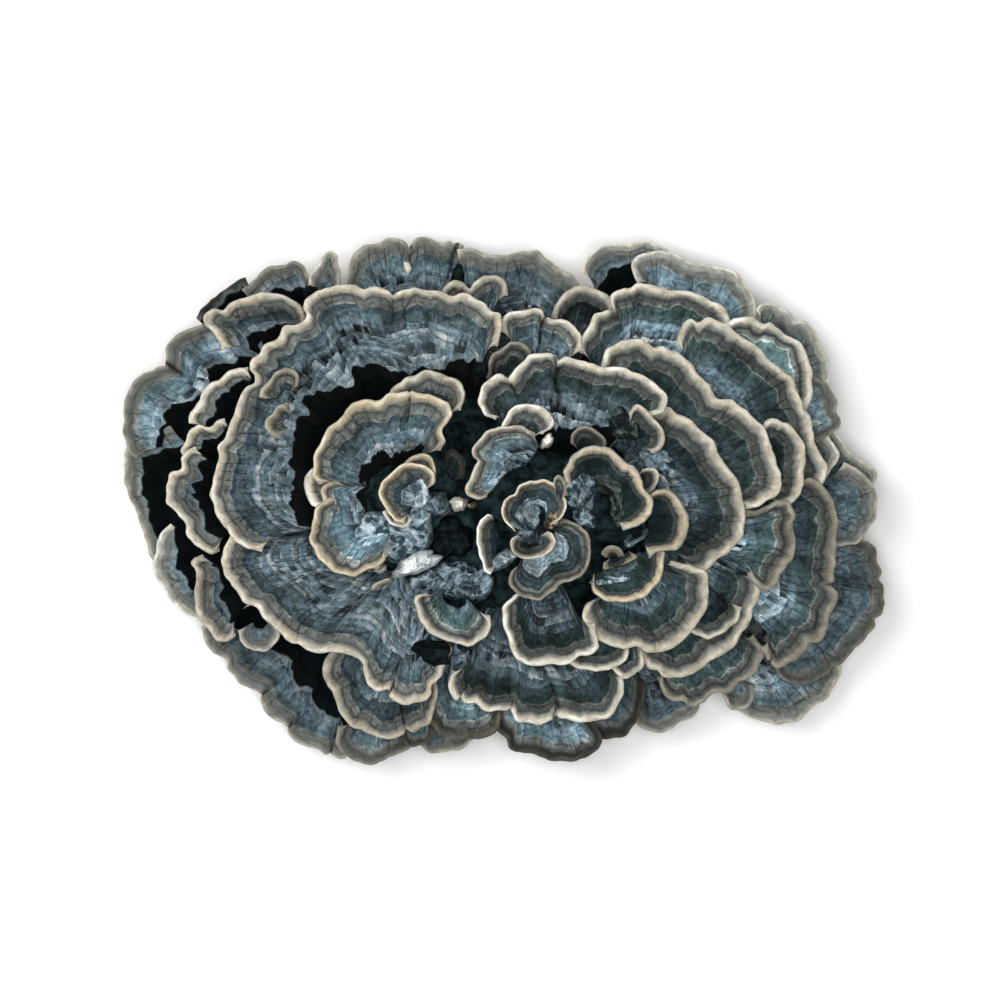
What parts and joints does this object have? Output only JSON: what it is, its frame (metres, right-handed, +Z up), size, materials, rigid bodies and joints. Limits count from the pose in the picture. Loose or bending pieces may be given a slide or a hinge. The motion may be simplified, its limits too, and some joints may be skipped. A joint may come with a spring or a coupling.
{
  "type": "turkey tail fungus rosette",
  "caption": "Rosette of thin, overlapping, wavy bracket caps on one fused base that is cut flat where it grew on wood.",
  "frame": {"origin": "middle of the rosette's outline seen from above, at the height of the flat cut face", "axes": "+Z up out of the cut face, through the rosette towards its crown; +X along its longest way, to the right in the picture; +Y to the top of the picture"},
  "size_m": [0.1914, 0.132, 0.0448],
  "materials": {
    "base_tissue": "matt, fibrous",
    "taupe_cap_surface": "matt, velvety, zoned taupe and slate with a cream rim",
    "slate_cap_surface": "matt, velvety, zoned slate blue with a cream rim",
    "charcoal_cap_surface": "matt, velvety, zoned charcoal and blue-grey with a cream rim"
  },
  "bodies": {
    "root": {"fused_base": "base_tissue", "outer_cap_left_middle": "taupe_cap_surface", "outer_cap_left_upper": "taupe_cap_surface", "outer_cap_left_lower": "taupe_cap_surface", "outer_cap_top_left": "taupe_cap_surface", "outer_cap_top_wide": "taupe_cap_surface", "outer_cap_top_middle": "taupe_cap_surface", "outer_cap_top_right_back": "taupe_cap_surface", "outer_cap_top_right_front": "taupe_cap_surface", "outer_cap_right_upper": "taupe_cap_surface", "outer_cap_right_tip": "taupe_cap_surface", "outer_cap_right_pale": "slate_cap_surface", "outer_cap_bottom_right": "taupe_cap_surface", "outer_cap_right_lower": "taupe_cap_surface", "outer_cap_right_middle": "taupe_cap_surface", "outer_cap_bottom_near_right": "taupe_cap_surface", "outer_cap_bottom_right_of_centre": "taupe_cap_surface", "outer_cap_bottom_centre": "slate_cap_surface", "outer_cap_bottom_left": "slate_cap_surface", "outer_cap_bottom_left_of_centre": "slate_cap_surface", "shelf_top_left": "taupe_cap_surface", "shelf_left_upper": "taupe_cap_surface", "shelf_left_small": "taupe_cap_surface", "shelf_left_middle": "taupe_cap_surface", "shelf_left_lower": "taupe_cap_surface", "shelf_top_small": "charcoal_cap_surface", "shelf_top_middle": "charcoal_cap_surface", "shelf_top_right": "charcoal_cap_surface", "shelf_bottom_right": "charcoal_cap_surface", "shelf_bottom_left_of_centre": "taupe_cap_surface", "shelf_bottom_left": "taupe_cap_surface", "fan_bottom_centre": "charcoal_cap_surface", "shelf_right_upper": "charcoal_cap_surface", "fan_right_upper": "charcoal_cap_surface", "fan_right_lower": "charcoal_cap_surface", "shelf_right_small": "charcoal_cap_surface", "fan_lower_right": "charcoal_cap_surface", "shelf_right_middle": "charcoal_cap_surface", "inner_fan_right": "charcoal_cap_surface", "inner_cap_right": "charcoal_cap_surface", "inner_cap_top": "charcoal_cap_surface", "inner_cap_lower_right": "charcoal_cap_surface", "inner_fan_bottom": "charcoal_cap_surface", "fan_lower_left": "slate_cap_surface", "great_fan_left": "slate_cap_surface", "inner_cap_left_back": "charcoal_cap_surface", "inner_fan_left": "slate_cap_surface", "inner_cap_left_lower": "slate_cap_surface", "curled_cap_left": "charcoal_cap_surface", "inner_cap_bottom_left": "charcoal_cap_surface", "inner_lobe_top": "charcoal_cap_surface", "inner_fan_top": "charcoal_cap_surface", "crown_cap_left": "charcoal_cap_surface", "crown_cap_lower_right": "charcoal_cap_surface", "crown_cap_far_right": "charcoal_cap_surface", "crown_cap_right": "charcoal_cap_surface", "crown_ruffle_lower": "charcoal_cap_surface", "crown_ruffle_upper": "charcoal_cap_surface", "crown_ruffle_inner": "charcoal_cap_surface"}
  },
  "joints": []
}
